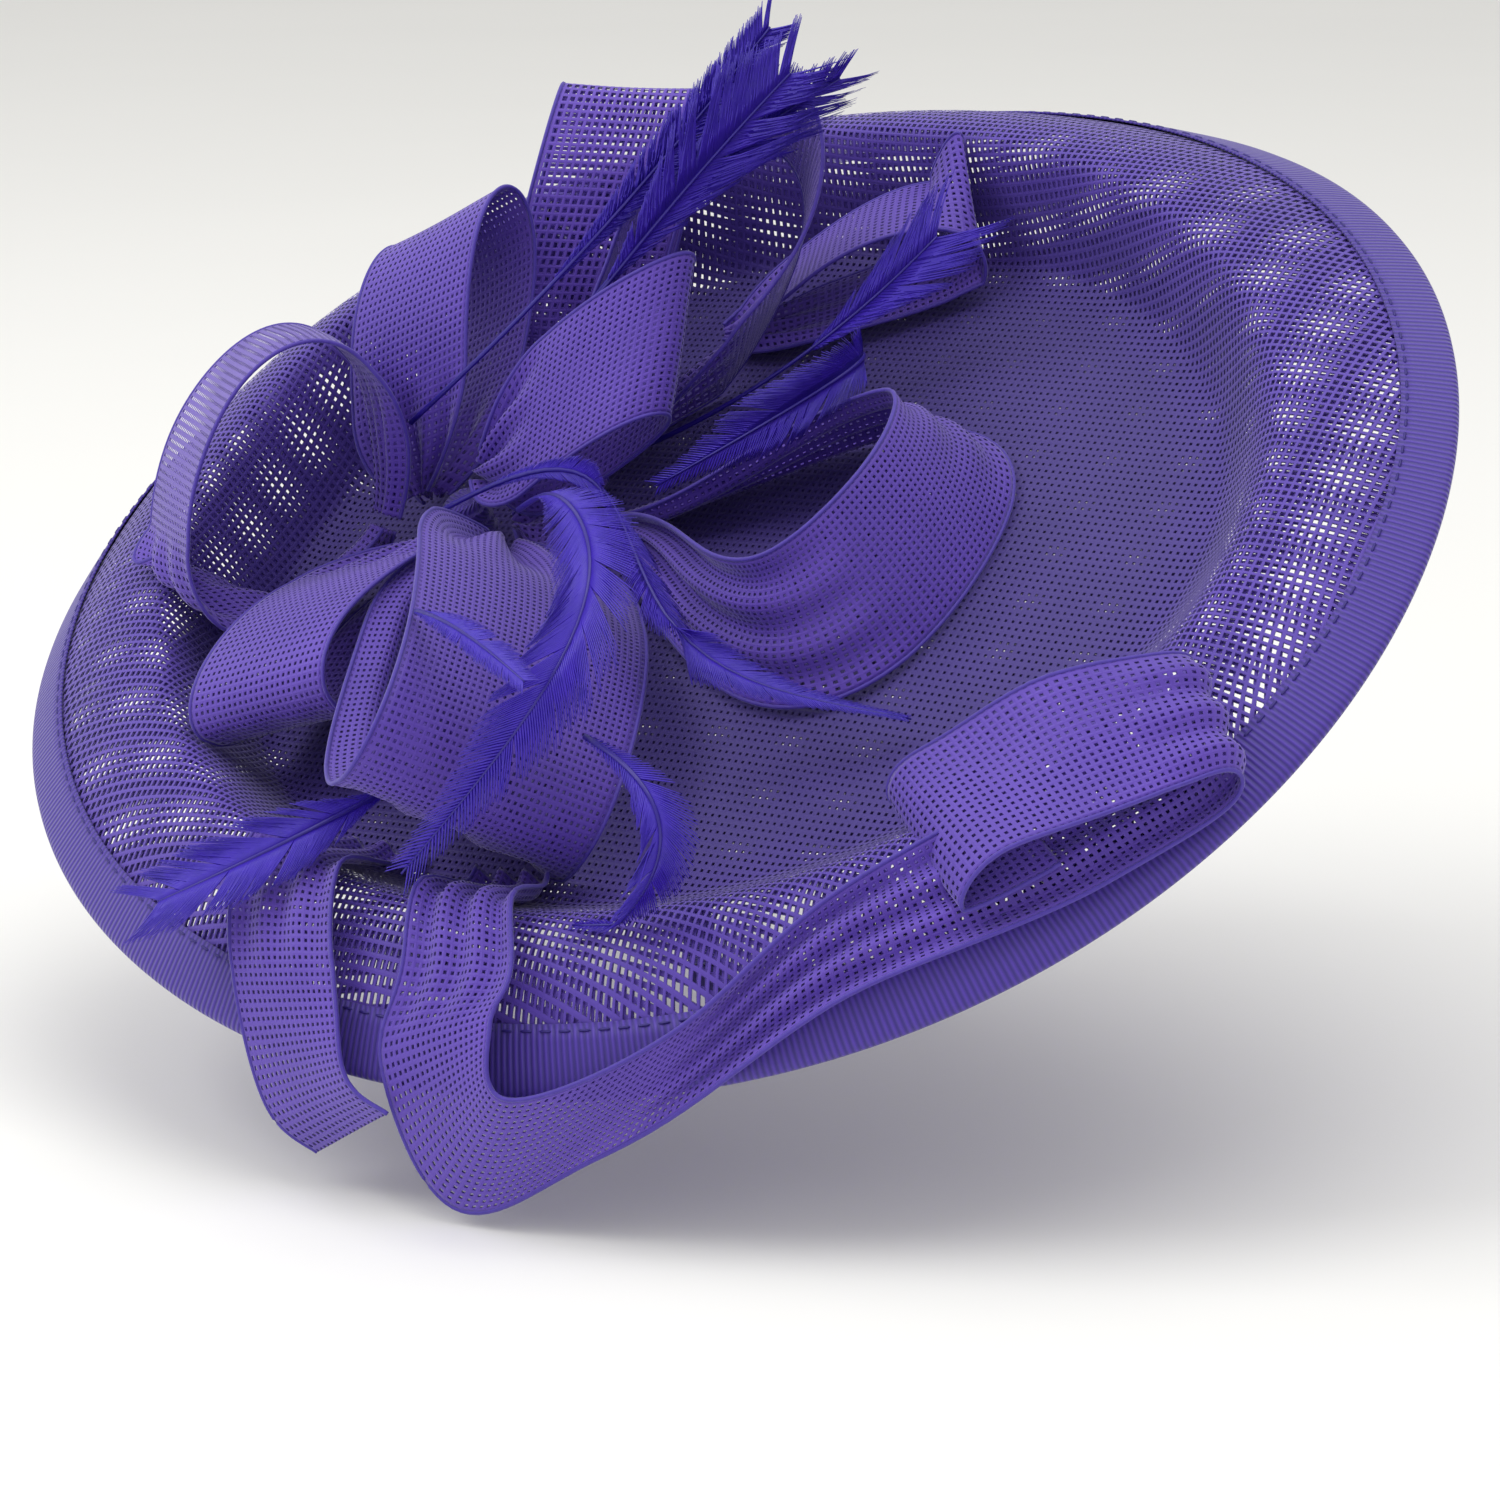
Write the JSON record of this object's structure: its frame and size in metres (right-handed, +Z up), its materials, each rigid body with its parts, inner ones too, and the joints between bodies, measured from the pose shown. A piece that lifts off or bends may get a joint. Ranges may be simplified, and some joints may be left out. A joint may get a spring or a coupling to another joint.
{
  "type": "fascinator headpiece",
  "caption": "Oval saucer fascinator in two layers of open mesh with a bound, wired rim, ribbon loops and feathers, worn tilted on a sprung headband.",
  "frame": {"origin": "centre of the underside of the base patch, where the crown of the headband meets it", "axes": "as worn: +Z up, the wearer faces -Y, the wearer's right is -X, and the saucer leans down towards the right"},
  "size_m": [0.2839, 0.3552, 0.2452],
  "materials": {
    "saucer_mesh": "open polyester mesh, matt",
    "ribbon_mesh": "close mesh ribbon with corded hems",
    "feather": "dyed goose feather, slight sheen",
    "binding_ribbon": "ribbed grosgrain ribbon",
    "wire_wrap": "thread-wrapped millinery wire",
    "felt": "stiffened felt",
    "spring_steel": "sprung steel strip",
    "band_satin": "satin ribbon wrap",
    "tip_cap": "soft plastic tip"
  },
  "bodies": {
    "hat": {"saucer_lower_layer": "saucer_mesh", "saucer_upper_layer": "saucer_mesh", "edge_binding": "binding_ribbon", "rim_wire": "wire_wrap", "base_patch": "felt", "band_core_centre": "spring_steel", "band_wrap_centre": "band_satin", "gather_wrap": "ribbon_mesh", "loop_left_twist": "ribbon_mesh", "loop_lower_left": "ribbon_mesh", "loop_back_left": "ribbon_mesh", "loop_sheer_left": "ribbon_mesh", "loop_sheer_right": "ribbon_mesh", "loop_centre": "ribbon_mesh", "loop_right_ring": "ribbon_mesh", "loop_small_back": "ribbon_mesh", "loop_front_bulge": "ribbon_mesh", "ribbon_fold_under_centre": "ribbon_mesh", "front_sweep_band": "ribbon_mesh", "swirl_front_outer": "ribbon_mesh", "plume_top_left": "feather", "plume_top_middle": "feather", "plume_top_right": "feather", "fan_feather": "feather", "curled_feather": "feather", "s_feather": "feather", "front_plume": "feather", "front_biot": "feather", "short_stub": "feather", "brush_feather": "feather"},
    "right_arm": {"band_core_right": "spring_steel", "band_wrap_right": "band_satin", "band_tip_right": "tip_cap"},
    "left_arm": {"band_core_left": "spring_steel", "band_wrap_left": "band_satin", "band_tip_left": "tip_cap"}
  },
  "joints": [
    {"name": "right_arm_flex", "type": "hinge", "parent": "hat", "child": "right_arm", "pos_m": [-0.03138, -0.00236, -0.04383], "axis": [0.0673, 0.9925, -0.1016], "range_deg": [0, 12], "stiffness_Nm_per_rad": 0.5},
    {"name": "left_arm_flex", "type": "hinge", "parent": "hat", "child": "left_arm", "pos_m": [0.11511, -0.01224, -0.04333], "axis": [-0.0673, -0.9925, 0.1016], "range_deg": [0, 12], "stiffness_Nm_per_rad": 0.5}
  ]
}
